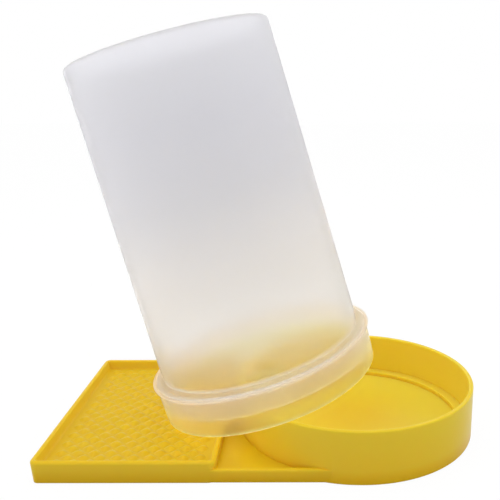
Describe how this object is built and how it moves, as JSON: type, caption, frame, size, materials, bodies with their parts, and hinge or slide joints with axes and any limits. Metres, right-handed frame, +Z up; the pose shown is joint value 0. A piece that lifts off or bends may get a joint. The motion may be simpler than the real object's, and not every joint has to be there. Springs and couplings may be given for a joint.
{
  "type": "hive entrance feeder",
  "caption": "Entrance feeder for a beehive: a base with a round cup and a shallow bumped tray, and a frosted syrup jar with a push-on drip lid leaning on the cup's rim.",
  "frame": {"origin": "on the ground, under the middle of the whole feeder's box", "axes": "+Z up, +X from the tray towards the cup, so that -X points into the hive, +Y across the feeder"},
  "size_m": [0.19, 0.11, 0.1887],
  "materials": {
    "yellow_plastic": "gloss",
    "frosted_lid": "satin, frosted and translucent",
    "frosted_jar": "satin, frosted and translucent"
  },
  "bodies": {
    "base": {"feeder_base": "yellow_plastic"},
    "lid": {"jar_lid": "frosted_lid"},
    "jar": {"syrup_jar": "frosted_jar"}
  },
  "joints": [
    {"name": "lift_off", "type": "slide", "parent": "base", "child": "lid", "axis": [0, 0, 1], "range_m": [0, 0.06]},
    {"name": "pull_from_lid", "type": "slide", "parent": "lid", "child": "jar", "axis": [-0.268, 0, 0.9634], "range_m": [0, 0.03]}
  ]
}
